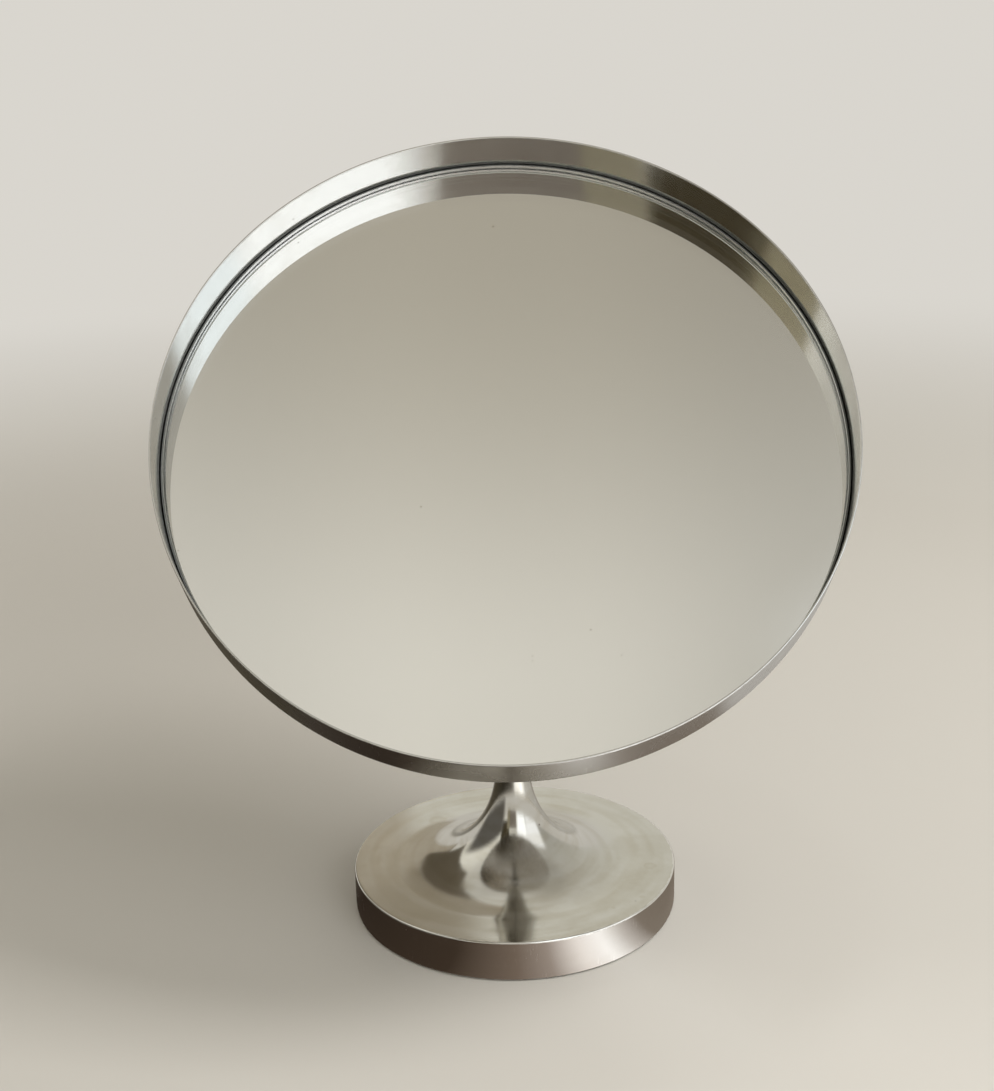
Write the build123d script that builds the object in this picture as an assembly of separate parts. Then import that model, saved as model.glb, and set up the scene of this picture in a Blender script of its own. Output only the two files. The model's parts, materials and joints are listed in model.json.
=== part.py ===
from build123d import *
import math
import os

# A round table mirror: a shallow spun tray holds the glass, and a yoke on the tray's back
# tilts on a knuckle that swivels on top of a hollow trumpet foot with a cast ballast inside.
# Millimetres, +Z up. The origin is the centre of the felt's underside, where the foot rests.
# The face looks towards -Y and upwards.

# Overall sizes
mirror_radius = 190.0
mirror_tilt = 42.5  # degrees from vertical at rest: the face looks this far above the horizon
pivot_height = 270.0
foot_radius = 97.0
foot_height = 24.5

# Tray, glass and what lies behind it
tray_wall = 1.2
tray_corner = 7.5
recess_depth = 23.5
glass_thickness = 6.0
glass_edge_gap = 1.5
glass_corner_clearance = 0.4  # from the glass's back edge to the tray's rounded corner
glass_arris = 0.4
silver_thickness = 0.2
board_edge_gap = 0.5
bead_wall_gap = 0.5
bead_setback = 0.8

# Yoke and its fixings, measured from the tilt axis
pivot_to_tray = 19.0
yoke_plate_radius = 25.0
yoke_plate_thickness = 3.0
ear_radius = 9.0
ear_thickness = 3.0
ear_root_fillet = 1.5
clamp_plate_overhang = 5.0  # past the yoke's plate
clamp_plate_clearance = 0.3  # behind the silvering
clamp_plate_gap = 1.0
screw_edge_distance = 6.5
screw_count = 4
screw_radius = 2.0
screw_head_radius = 3.8
screw_head_height = 2.4
screw_hole_clearance = 0.1
slot_width = 0.9
slot_depth = 1.1

# Tilt bolt stack
bolt_radius = 3.0
bolt_head_radius = 6.2
bolt_head_height = 3.0
tilt_washer_radius = 8.0
tilt_washer_thickness = 1.0
spring_washer_radius = 5.6
spring_washer_thickness = 1.2
spring_washer_split = 1.2
nut_flats = 10.0
nut_height = 4.5
nut_dome_radius = 4.6
nut_bore_depth = 6.5

# Knuckle and swivel
tongue_thickness = 8.0
tongue_radius = 8.0
knuckle_height = 14.0
knuckle_below_pivot = 28.0
knuckle_chamfer = 0.7
swivel_washer_thickness = 1.0
spindle_radius = 3.5
spindle_in_knuckle = 8.0
spindle_in_socket = 20.0
groove_depth = 0.9
groove_width = 3.2
groove_drop = 12.0  # below the socket's flange
socket_flange_thickness = 2.0
socket_bore_spare = 3.0
socket_web = 9.0  # between the spindle's bore and the tie rod's thread
grub_radius = 2.0
grub_tip_radius = 1.4
grub_tip_length = 1.2
grub_setback = 0.4
grub_key_radius = 1.0
grub_key_depth = 1.8
running_clearance = 0.05
face_clearance = 0.05

# Foot
neck_top_radius = 8.1
neck_foot_radius = 9.7
neck_foot_height = 92.0
neck_wall = 2.2
foot_flat_width = 25.0  # from the rim in to where the trumpet starts to rise
flare_wall = 3.0
flare_pull_out = 32.0  # how far the curve stays low as it leaves the flat of the foot
flare_belly_radius = 19.0
flare_belly_height = 42.0
flare_throat_height = 62.0
flare_throat_swell = 0.25
foot_rim_wall = 4.0
foot_rim_round = 1.2
foot_clear_of_table = 0.8
felt_thickness = 2.0
felt_edge_gap = 1.0
cover_thickness = 1.5
cover_rebate_wall = 2.0

# Ballast and the rod that clamps it
ballast_floor_gap = 6.0  # from the cover up to the disc
ballast_edge_gap = 3.0
ballast_chamfer = 1.5
ballast_recess_radius = 14.0
ballast_recess_depth = 5.0
rod_radius = 3.0
rod_in_socket = 14.0
rod_past_nut = 2.0
rod_hole_clearance = 0.2
rod_washer_radius = 9.0
rod_washer_thickness = 1.6
rod_nut_flats = 10.0
rod_nut_height = 5.0

# Heights and places that follow from the sizes above
tray_inner_radius = mirror_radius - tray_wall
inner_corner = tray_corner - tray_wall
glass_radius = tray_inner_radius - glass_edge_gap
board_back = pivot_to_tray + tray_wall
corner_step = inner_corner - glass_edge_gap + glass_corner_clearance
corner_top = board_back + inner_corner
glass_back = corner_top - math.sqrt(inner_corner**2 - corner_step**2)
glass_front = glass_back + glass_thickness
silver_back = glass_back - silver_thickness
tray_front = glass_front + recess_depth
bead_low = corner_top - math.sqrt(inner_corner * bead_wall_gap)
bead_high = glass_front - bead_setback
yoke_plate_back = pivot_to_tray - yoke_plate_thickness
screw_circle_radius = yoke_plate_radius - screw_edge_distance
clamp_plate_radius = yoke_plate_radius + clamp_plate_overhang
clamp_plate_front = silver_back - clamp_plate_clearance
ear_inner = tongue_thickness / 2 + face_clearance + tilt_washer_thickness
ear_outer = ear_inner + ear_thickness
nut_seat = ear_outer + spring_washer_thickness
knuckle_bottom = pivot_height - knuckle_below_pivot
flange_top = knuckle_bottom - swivel_washer_thickness - face_clearance
neck_top = flange_top - socket_flange_thickness
neck_bore_radius = neck_top_radius - neck_wall
groove_height = flange_top - groove_drop
flare_radius = foot_radius - foot_flat_width
foot_ceiling = foot_height - flare_wall
cover_bottom = felt_thickness
cover_top = cover_bottom + cover_thickness
ballast_bottom = cover_top + ballast_floor_gap
rod_washer_bottom = ballast_bottom + ballast_recess_depth - rod_washer_thickness
rod_nut_bottom = rod_washer_bottom - rod_nut_height
spindle_bottom = flange_top - spindle_in_socket
socket_bore_bottom = spindle_bottom - socket_bore_spare
tie_rod_top = socket_bore_bottom - socket_web
socket_bottom = tie_rod_top - rod_in_socket

mirror_place = Location((0, 0, pivot_height), (90 - mirror_tilt, 0, 0))


def disc(radius, low, high):
    """A round plate or shaft on the Z axis between two heights."""
    return Pos(0, 0, (low + high) / 2) * Cylinder(radius, high - low)


def ring(inner, outer, low, high):
    """A washer or tube on the Z axis between two heights."""
    return disc(outer, low, high) - disc(inner, low, high)


def shaft_x(radius, left, right):
    """A round shaft on the X axis between two places."""
    return Pos((left + right) / 2, 0, 0) * Rot(0, 90, 0) * Cylinder(radius, right - left)


def shaft_y(radius, near, far, height):
    """A round shaft along Y at a height on the Z axis."""
    return Pos(0, (near + far) / 2, height) * Rot(90, 0, 0) * Cylinder(radius, far - near)


def hexagon(flats, low, high):
    """A hexagonal nut blank on the Z axis."""
    outline = RegularPolygon(flats / 2, 6, major_radius=False)
    return extrude(Pos(0, 0, low) * outline, high - low)


def circles(part, radius, height):
    """The part's round edges on the Z axis with this radius at this height."""
    return [
        edge
        for edge in part.edges().filter_by(GeomType.CIRCLE)
        if abs(edge.radius - radius) < 0.01 and abs(edge.center().Z - height) < 0.01
    ]


def at(radius, height):
    """A point of an outline that is turned about the Z axis."""
    return (radius, 0, height)


def on_screw_circle(part):
    """Copies of a part at each of the yoke's screws."""
    spots = PolarLocations(screw_circle_radius, screw_count, 180 / screw_count)
    return [spot * part for spot in spots]


# Stand: foot, ballast and the fixed half of the swivel

def foot_shell():
    """The disc, trumpet and neck, turned in one piece and hollow underneath."""
    rim_inner = foot_radius - foot_rim_wall
    rebate_inner = foot_radius - cover_rebate_wall
    belly_inset = flare_wall * math.sin(math.radians(45))
    outside = [
        Line(at(foot_radius, foot_clear_of_table), at(foot_radius, foot_height)),
        Line(at(foot_radius, foot_height), at(flare_radius, foot_height)),
        Bezier(
            at(flare_radius, foot_height),
            at(flare_radius - flare_pull_out, foot_height),
            at(flare_belly_radius, flare_belly_height),
            at(neck_foot_radius + flare_throat_swell, flare_throat_height),
            at(neck_foot_radius, neck_foot_height),
        ),
        Line(at(neck_foot_radius, neck_foot_height), at(neck_top_radius, neck_top)),
    ]
    inside = [
        Line(at(neck_top_radius, neck_top), at(neck_bore_radius, neck_top)),
        Line(at(neck_bore_radius, neck_top), at(neck_bore_radius, neck_foot_height)),
        Bezier(
            at(neck_bore_radius, neck_foot_height),
            at(neck_bore_radius, flare_throat_height),
            at(flare_belly_radius - belly_inset, flare_belly_height - belly_inset),
            at(flare_radius - flare_pull_out, foot_ceiling),
            at(flare_radius, foot_ceiling),
        ),
        Line(at(flare_radius, foot_ceiling), at(rim_inner, foot_ceiling)),
        Line(at(rim_inner, foot_ceiling), at(rim_inner, cover_top)),
        Line(at(rim_inner, cover_top), at(rebate_inner, cover_top)),
        Line(at(rebate_inner, cover_top), at(rebate_inner, foot_clear_of_table)),
        Line(at(rebate_inner, foot_clear_of_table), at(foot_radius, foot_clear_of_table)),
    ]
    shell = revolve(Face(Wire(outside + inside)), Axis.Z)
    shell = fillet(circles(shell, foot_radius, foot_height), foot_rim_round)
    return shell - shaft_y(grub_radius, 0, 2 * neck_foot_radius, groove_height)


def ballast_disc():
    """A cast disc under the foot's ceiling, recessed for its nut."""
    radius = foot_radius - foot_rim_wall - ballast_edge_gap
    body = disc(radius, ballast_bottom, foot_ceiling)
    body = chamfer(circles(body, radius, ballast_bottom), ballast_chamfer)
    body -= disc(ballast_recess_radius, ballast_bottom, ballast_bottom + ballast_recess_depth)
    return body - disc(rod_radius + rod_hole_clearance, ballast_bottom, foot_ceiling)


def tie_rod():
    """The threaded rod from the swivel socket down through the ballast."""
    low = rod_nut_bottom - rod_past_nut
    rod = disc(rod_radius, low, tie_rod_top)
    ends = circles(rod, rod_radius, low) + circles(rod, rod_radius, tie_rod_top)
    return chamfer(ends, rod_radius / 6)


def rod_washer():
    low = rod_washer_bottom
    return ring(rod_radius, rod_washer_radius, low, low + rod_washer_thickness)


def rod_nut():
    blank = hexagon(rod_nut_flats, rod_nut_bottom, rod_washer_bottom)
    return blank - disc(rod_radius, rod_nut_bottom, rod_washer_bottom)


def base_cover():
    """The sheet that closes the foot, seated in its rebate."""
    return disc(foot_radius - cover_rebate_wall, cover_bottom, cover_top)


def felt_pad():
    return disc(foot_radius - cover_rebate_wall - felt_edge_gap, 0, felt_thickness)


def swivel_socket():
    """The plug in the neck's top: flange, bore for the spindle, thread for the tie rod."""
    body = disc(neck_bore_radius, socket_bottom, neck_top)
    body += disc(neck_top_radius, neck_top, flange_top)
    body -= disc(spindle_radius + running_clearance, socket_bore_bottom, flange_top)
    body -= disc(rod_radius, socket_bottom, tie_rod_top)
    return body - shaft_y(grub_radius, 0, 2 * neck_foot_radius, groove_height)


def swivel_grub_screw():
    """The set screw in the neck's back whose tip runs in the spindle's groove."""
    share = (neck_top - groove_height) / (neck_top - neck_foot_height)
    neck_here = neck_top_radius + share * (neck_foot_radius - neck_top_radius)
    outer = neck_here - grub_setback
    tip = spindle_radius - groove_depth + 2 * running_clearance
    shoulder = tip + grub_tip_length
    screw = shaft_y(grub_radius, shoulder, outer, groove_height)
    screw += shaft_y(grub_tip_radius, tip, shoulder, groove_height)
    return screw - shaft_y(grub_key_radius, outer - grub_key_depth, outer, groove_height)


def swivel_washer():
    inner = spindle_radius + running_clearance
    return ring(inner, neck_top_radius, flange_top + face_clearance, knuckle_bottom)


# Swivel head: what turns on the neck

def swivel_spindle():
    """The pin under the knuckle, with the groove that keeps it in the socket."""
    pin = disc(spindle_radius, spindle_bottom, knuckle_bottom + spindle_in_knuckle)
    pin = chamfer(circles(pin, spindle_radius, spindle_bottom), spindle_radius / 6)
    half_groove = groove_width / 2
    return pin - ring(
        spindle_radius - groove_depth,
        spindle_radius * 2,
        groove_height - half_groove,
        groove_height + half_groove,
    )


def knuckle():
    """A round block with a flat tongue that the tilt bolt passes through."""
    shoulder = knuckle_bottom + knuckle_height
    block = disc(neck_top_radius, knuckle_bottom, shoulder)
    block = chamfer(circles(block, neck_top_radius, shoulder), knuckle_chamfer)
    tongue_height = pivot_height - knuckle_bottom - knuckle_height / 2
    stem = Box(tongue_thickness, 2 * tongue_radius, tongue_height)
    stem = Pos(0, 0, pivot_height - tongue_height / 2) * stem
    stem &= disc(neck_top_radius, knuckle_bottom, pivot_height)
    half = tongue_thickness / 2
    eye = Pos(0, 0, pivot_height) * shaft_x(tongue_radius, -half, half)
    body = block + stem + eye
    body -= Pos(0, 0, pivot_height) * shaft_x(bolt_radius + running_clearance, -half, half)
    return body - disc(spindle_radius, knuckle_bottom, knuckle_bottom + spindle_in_knuckle)


# Mirror head: built about its tilt axis with +Z towards the viewer, then set at its tilt

def mirror_tray():
    """The spun dish: flat back, rounded corner and deep rim."""
    back = pivot_to_tray
    tray = disc(mirror_radius, back, tray_front) - disc(tray_inner_radius, board_back, tray_front)
    tray = fillet(circles(tray, mirror_radius, back), tray_corner)
    tray = fillet(circles(tray, tray_inner_radius, board_back), inner_corner)
    lip = circles(tray, mirror_radius, tray_front) + circles(tray, tray_inner_radius, tray_front)
    tray = fillet(lip, tray_wall * 0.4)
    hole = disc(screw_radius + screw_hole_clearance, back, board_back)
    for cut in on_screw_circle(hole):
        tray -= cut
    return tray


def mirror_glass():
    pane = disc(glass_radius, glass_back, glass_front)
    edges = circles(pane, glass_radius, glass_front) + circles(pane, glass_radius, glass_back)
    return chamfer(edges, glass_arris)


def silvering():
    """The silvered and painted coat on the back of the glass."""
    return disc(glass_radius - glass_arris, silver_back, glass_back)


def backing_board():
    """The fibreboard between the glass and the tray, cut away round the clamp plate."""
    outer = mirror_radius - tray_corner - board_edge_gap
    return ring(clamp_plate_radius + clamp_plate_gap, outer, board_back, silver_back)


def glazing_bead():
    """The dark bead that holds the glass's edge in the tray."""
    return ring(glass_radius, tray_inner_radius - bead_wall_gap, bead_low, bead_high)


def clamp_plate():
    """The tapped disc inside the tray that the yoke's screws pull against."""
    plate = disc(clamp_plate_radius, board_back, clamp_plate_front)
    hole = disc(screw_radius, board_back, clamp_plate_front)
    for cut in on_screw_circle(hole):
        plate -= cut
    return plate


def yoke():
    """The round plate with two ears that carry the tilt bolt."""
    body = disc(yoke_plate_radius, yoke_plate_back, pivot_to_tray)
    for side in (-1, 1):
        middle = side * (ear_inner + ear_outer) / 2
        web = Box(ear_thickness, 2 * ear_radius, yoke_plate_back)
        body += Pos(middle, 0, yoke_plate_back / 2) * web
        body += Pos(middle, 0, 0) * shaft_x(ear_radius, -ear_thickness / 2, ear_thickness / 2)
    roots = [
        edge
        for edge in body.edges().filter_by(Axis.Y)
        if abs(edge.center().Z - yoke_plate_back) < 0.01 and abs(edge.center().X) > ear_outer - 0.01
    ]
    body = fillet(roots, ear_root_fillet)
    body -= shaft_x(bolt_radius + running_clearance, -ear_outer, ear_outer)
    hole = disc(screw_radius + screw_hole_clearance, yoke_plate_back, pivot_to_tray)
    for cut in on_screw_circle(hole):
        body -= cut
    return body


def yoke_screws():
    """Slotted pan-head screws through the yoke and the tray into the clamp plate."""
    seat = yoke_plate_back
    head = disc(screw_head_radius, seat - screw_head_height, seat)
    head = fillet(circles(head, screw_head_radius, seat - screw_head_height), screw_head_height * 0.6)
    slot = Box(2 * screw_head_radius, slot_width, slot_depth)
    head -= Pos(0, 0, seat - screw_head_height + slot_depth / 2) * slot
    screw = head + disc(screw_radius, seat, clamp_plate_front)
    return Compound(on_screw_circle(screw))


def tilt_bolt():
    """The slotted dome-head bolt on the tilt axis."""
    seat = -ear_outer
    end = nut_seat + nut_bore_depth - 2 * running_clearance
    head = disc(bolt_head_radius, seat - bolt_head_height, seat)
    head = fillet(circles(head, bolt_head_radius, seat - bolt_head_height), bolt_head_height * 0.6)
    slot = Box(2 * bolt_head_radius, slot_width * 1.5, slot_depth)
    head -= Pos(0, 0, seat - bolt_head_height + slot_depth / 2) * slot
    return Rot(0, 90, 0) * (head + disc(bolt_radius, seat, end))


def tilt_washers():
    """The two fibre washers that the tongue rubs on."""
    low = tongue_thickness / 2 + face_clearance
    washer = Rot(0, 90, 0) * ring(bolt_radius + running_clearance, tilt_washer_radius, low, ear_inner)
    return Compound([washer, Rot(0, 0, 180) * washer])


def spring_washer():
    """The split washer under the nut."""
    washer = ring(bolt_radius, spring_washer_radius, ear_outer, nut_seat)
    split = Box(spring_washer_radius * 2, spring_washer_split, spring_washer_thickness * 2)
    washer -= Pos(spring_washer_radius + bolt_radius / 2, 0, nut_seat) * split
    return Rot(0, 90, 0) * washer


def tilt_nut():
    """The domed nut that sets the tilt's friction."""
    dome_base = nut_seat + nut_height
    dome = Pos(0, 0, dome_base) * Sphere(nut_dome_radius)
    dome &= disc(nut_dome_radius * 2, nut_seat + nut_height / 2, dome_base + nut_dome_radius)
    body = hexagon(nut_flats, nut_seat, dome_base) + dome
    return Rot(0, 90, 0) * (body - disc(bolt_radius, nut_seat, nut_seat + nut_bore_depth))


stand = {
    "foot_shell": foot_shell,
    "ballast_disc": ballast_disc,
    "tie_rod": tie_rod,
    "rod_washer": rod_washer,
    "rod_nut": rod_nut,
    "base_cover": base_cover,
    "felt_pad": felt_pad,
    "swivel_socket": swivel_socket,
    "swivel_grub_screw": swivel_grub_screw,
}
swivel_head = {
    "swivel_washer": swivel_washer,
    "swivel_spindle": swivel_spindle,
    "knuckle": knuckle,
}
mirror_head = {
    "mirror_tray": mirror_tray,
    "mirror_glass": mirror_glass,
    "silvering": silvering,
    "backing_board": backing_board,
    "glazing_bead": glazing_bead,
    "clamp_plate": clamp_plate,
    "yoke": yoke,
    "yoke_screws": yoke_screws,
    "tilt_bolt": tilt_bolt,
    "tilt_washers": tilt_washers,
    "spring_washer": spring_washer,
    "tilt_nut": tilt_nut,
}

os.makedirs("parts", exist_ok=True)
for name, make in (stand | swivel_head).items():
    export_step(make(), f"parts/{name}.step")
for name, make in mirror_head.items():
    export_step(mirror_place * make(), f"parts/{name}.step")
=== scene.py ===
import json
import math

import bmesh
import bpy
from mathutils import Matrix, Vector


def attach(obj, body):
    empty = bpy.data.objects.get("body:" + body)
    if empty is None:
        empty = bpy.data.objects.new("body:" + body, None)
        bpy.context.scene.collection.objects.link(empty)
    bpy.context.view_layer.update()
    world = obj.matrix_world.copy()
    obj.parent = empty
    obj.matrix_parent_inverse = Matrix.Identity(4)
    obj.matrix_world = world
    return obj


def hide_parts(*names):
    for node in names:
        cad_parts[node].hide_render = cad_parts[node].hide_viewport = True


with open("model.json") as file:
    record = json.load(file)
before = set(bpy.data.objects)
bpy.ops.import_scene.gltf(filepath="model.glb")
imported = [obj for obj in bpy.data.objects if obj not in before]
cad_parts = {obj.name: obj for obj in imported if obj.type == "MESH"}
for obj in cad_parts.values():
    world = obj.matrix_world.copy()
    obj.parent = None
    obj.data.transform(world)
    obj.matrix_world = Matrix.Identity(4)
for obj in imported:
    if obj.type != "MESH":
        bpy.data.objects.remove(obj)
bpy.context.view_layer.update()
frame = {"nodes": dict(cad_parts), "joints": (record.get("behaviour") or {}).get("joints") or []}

scene = bpy.context.scene
mm = 0.001
restTilt = 42.5  # degrees that the face looks above the horizon at rest
tiltJoint = next(joint for joint in frame["joints"] if joint["name"] == "tilt")
pivot = Vector(tiltJoint["pos_m"])
headPlace = Matrix.Translation(pivot) @ Matrix.Rotation(math.radians(90 - restTilt), 4, "X")


# Camera: the photo's own viewpoint, worked out from the rim, glass and foot ellipses
shot = {
    "place": (-0.0020, -0.8916, 0.5141),
    "yaw": -0.248,
    "pitch": 18.009,
    "roll": 1.424,
    "focalPixels": 1640.0,
    "framePixels": 1091,  # the photo's long side
    "sensor": 36.0,
}


def makeCamera():
    yaw, pitch, roll = (math.radians(shot[turn]) for turn in ("yaw", "pitch", "roll"))
    look = Vector((math.sin(yaw) * math.cos(pitch), math.cos(yaw) * math.cos(pitch), -math.sin(pitch)))
    level = Vector((math.cos(yaw), -math.sin(yaw), 0))
    upright = level.cross(look)
    right = level * math.cos(roll) - upright * math.sin(roll)
    up = level * math.sin(roll) + upright * math.cos(roll)
    camera = bpy.data.objects.new("shotCamera", bpy.data.cameras.new("shotCamera"))
    scene.collection.objects.link(camera)
    turned = Matrix((right, up, -look)).transposed().to_4x4()
    camera.matrix_world = Matrix.Translation(shot["place"]) @ turned
    camera.data.sensor_width = shot["sensor"]
    camera.data.lens = shot["sensor"] * shot["focalPixels"] / shot["framePixels"]
    camera.data.clip_start = 0.01
    scene.camera = camera


makeCamera()
print("camera placed")


# Node helpers

falling = (1.0, 0.0)  # a mask that goes from full to nothing


def fillInputs(tree, node, inputs):
    for key, value in inputs.items():
        if isinstance(value, bpy.types.NodeSocket):
            tree.links.new(value, node.inputs[key])
        else:
            node.inputs[key].default_value = value


def addNode(tree, kind, settings=None, inputs=None):
    node = tree.nodes.new(kind)
    for key, value in (settings or {}).items():
        setattr(node, key, value)
    fillInputs(tree, node, inputs or {})
    return node


def maths(tree, operation, first, second=None, third=None, clamp=False):
    values = [value for value in (first, second, third) if value is not None]
    settings = {"operation": operation, "use_clamp": clamp}
    return addNode(tree, "ShaderNodeMath", settings, dict(enumerate(values))).outputs[0]


def raiseBy(tree, value, parts):
    # Each mask raises the value by its own amount
    for mask, amount in parts:
        value = maths(tree, "MULTIPLY_ADD", mask, amount, value)
    return value


def vectorMaths(tree, operation, inputs):
    return addNode(tree, "ShaderNodeVectorMath", {"operation": operation}, inputs).outputs


def separate(tree, vector):
    return addNode(tree, "ShaderNodeSeparateXYZ", inputs={0: vector}).outputs


def combine(tree, x, y, z=0.0):
    return addNode(tree, "ShaderNodeCombineXYZ", inputs={0: x, 1: y, 2: z}).outputs[0]


def fromAxis(tree, place):
    # A point's distance from the Z axis, its height, and the flat vector from the axis to it
    parts = separate(tree, place)
    flat = combine(tree, parts[0], parts[1])
    return vectorMaths(tree, "LENGTH", {0: flat})["Value"], parts[2], flat


def mapping(tree, vector, settings):
    return addNode(tree, "ShaderNodeMapping", inputs={"Vector": vector, **settings}).outputs[0]


def noiseAt(tree, place, scale=1.0, detail=2.0, roughness=0.5):
    inputs = {"Vector": place, "Scale": scale, "Detail": detail, "Roughness": roughness}
    return addNode(tree, "ShaderNodeTexNoise", inputs=inputs).outputs["Fac"]


def remap(tree, value, source, target=(0.0, 1.0)):
    # A smooth step over the source range
    inputs = {"Value": value, "From Min": source[0], "From Max": source[1], "To Min": target[0],
              "To Max": target[1]}
    kind = {"interpolation_type": "SMOOTHSTEP"}
    return addNode(tree, "ShaderNodeMapRange", kind, inputs).outputs["Result"]


def mixColour(tree, factor, first, second):
    node = addNode(tree, "ShaderNodeMix", {"data_type": "RGBA"}, {"Factor": factor})
    for socket, value in ((node.inputs[6], first), (node.inputs[7], second)):
        if isinstance(value, bpy.types.NodeSocket):
            tree.links.new(value, socket)
        else:
            socket.default_value = (*value, 1.0)
    return node.outputs[2]


def layColour(tree, colour, mask, share, tone):
    return mixColour(tree, maths(tree, "MULTIPLY", mask, share), colour, tone)


def newGroup(name, inputs, outputs):
    # An input that starts from no number is a vector
    group = bpy.data.node_groups.new(name, "ShaderNodeTree")
    for label, value in inputs.items():
        kind = "NodeSocketVector" if value is None else "NodeSocketFloat"
        socket = group.interface.new_socket(label, in_out="INPUT", socket_type=kind)
        if value is not None:
            socket.default_value = value
    for label in outputs:
        group.interface.new_socket(label, in_out="OUTPUT", socket_type="NodeSocketFloat")
    start = group.nodes.new("NodeGroupInput")
    end = group.nodes.new("NodeGroupOutput")
    return group, start.outputs, end


def useGroup(tree, group, inputs):
    return addNode(tree, "ShaderNodeGroup", {"node_tree": group}, inputs).outputs


# Shared effects

grainLook = {"broadRings": 110.0, "fineDetail": 2.0, "broadDetail": 1.0}


def buildTurnedGrain():
    # Fine rings left by turning and spinning about the Z axis, fading in and out round the piece
    inputs = {"Vector": None, "Rings": 2600.0, "Slope": 1.0, "Spread": 2.0}
    group, given, end = newGroup("turnedGrain", inputs, ["Grain", "Bands"])
    radius, height, flat = fromAxis(group, given["Vector"])
    turn = separate(group, vectorMaths(group, "NORMALIZE", {0: flat})[0])
    along = maths(group, "MULTIPLY_ADD", height, given["Slope"], radius)
    across = [maths(group, "MULTIPLY", turn[side], given["Spread"]) for side in (0, 1)]
    fineAt = combine(group, maths(group, "MULTIPLY", along, given["Rings"]), *across)
    broadAt = combine(group, maths(group, "MULTIPLY", along, grainLook["broadRings"]), *across)
    fine = noiseAt(group, fineAt, detail=grainLook["fineDetail"])
    broad = noiseAt(group, broadAt, detail=grainLook["broadDetail"])
    fillInputs(group, end, {"Grain": fine, "Bands": broad})
    return group


ageingLook = {
    "cloudDetail": 5.0,
    "cloudRough": 0.62,
    "cloudRange": (0.42, 0.68),
    "speckSpread": 0.22,  # the largest speck less the smallest, in shares of a cell
    "speckLeast": 0.06,
    "speckCore": 0.35,
    "smearRun": {"Scale": (9.0, 60.0, 14.0), "Rotation": (0.3, 0.2, 0.9)},
    "smearDetail": 3.0,
    "smearRange": (0.45, 0.7),
}


def buildAgeing():
    # Cloudy tarnish, small dark specks and a few wiped smears
    inputs = {"Vector": None, "Cloud Scale": 26.0, "Speck Scale": 260.0, "Speck Share": 0.12}
    group, given, end = newGroup("ageing", inputs, ["Clouds", "Specks", "Smears"])
    look = ageingLook
    place = given["Vector"]
    cloud = noiseAt(group, place, given["Cloud Scale"], look["cloudDetail"], look["cloudRough"])
    cells = addNode(group, "ShaderNodeTexVoronoi", inputs={"Vector": place, "Scale": given["Speck Scale"]})
    cellValue = addNode(group, "ShaderNodeSeparateColor", inputs={0: cells.outputs["Color"]})
    chosen = maths(group, "LESS_THAN", cellValue.outputs[0], given["Speck Share"])
    size = maths(group, "MULTIPLY_ADD", cellValue.outputs[1], look["speckSpread"], look["speckLeast"])
    core = maths(group, "MULTIPLY", size, look["speckCore"])
    dot = remap(group, cells.outputs["Distance"], (core, size), falling)
    smear = noiseAt(group, mapping(group, place, look["smearRun"]), detail=look["smearDetail"])
    fillInputs(group, end, {
        "Clouds": remap(group, cloud, look["cloudRange"]),
        "Specks": maths(group, "MULTIPLY", chosen, dot),
        "Smears": remap(group, smear, look["smearRange"]),
    })
    return group


hairlineLook = {
    "bend": (0.010, 0.010, 0.010),
    "bendScale": 30.0,
    "bendDetail": 1.0,
    "runs": [
        {"Rotation": (0.4, 1.1, 0.5), "Scale": (520.0, 42.0, 42.0)},
        {"Rotation": (1.2, 0.3, -0.9), "Scale": (46.0, 610.0, 46.0)},
        {"Rotation": (-0.5, 0.8, 2.1), "Scale": (38.0, 560.0, 60.0)},
    ],
    "patchScale": 0.6,
    "patchRange": (0.62, 0.72),
}


def buildHairlines():
    # Short fine scratches in three directions, a little bent and only in some patches
    group, given, end = newGroup("hairlines", {"Vector": None, "Scale": 1.0, "Width": 0.010}, ["Lines"])
    look = hairlineLook
    scaled = vectorMaths(group, "SCALE", {0: given["Vector"], "Scale": given["Scale"]})[0]
    swayInputs = {"Vector": scaled, "Scale": look["bendScale"], "Detail": look["bendDetail"]}
    sway = addNode(group, "ShaderNodeTexNoise", inputs=swayInputs).outputs["Color"]
    bent = vectorMaths(group, "MULTIPLY_ADD", {0: sway, 1: look["bend"], 2: scaled})[0]
    lines = None
    for run in look["runs"]:
        turned = mapping(group, bent, run)
        away = maths(group, "SUBTRACT", noiseAt(group, turned, detail=0.0), 0.5)
        line = remap(group, maths(group, "ABSOLUTE", away), (0.0, given["Width"]), falling)
        patch = noiseAt(group, turned, look["patchScale"], 0.0)
        kept = maths(group, "MULTIPLY", line, remap(group, patch, look["patchRange"]))
        lines = kept if lines is None else maths(group, "MAXIMUM", lines, kept)
    fillInputs(group, end, {"Lines": lines})
    return group


edgeWearAndHighlightLook = {
    "unevenScale": 240.0,
    "unevenDetail": 3.0,
    "unevenRange": (0.3, 0.7),
    "reachShare": (0.6, 1.3),
    "fade": (0.5, 1.0),
}


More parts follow.
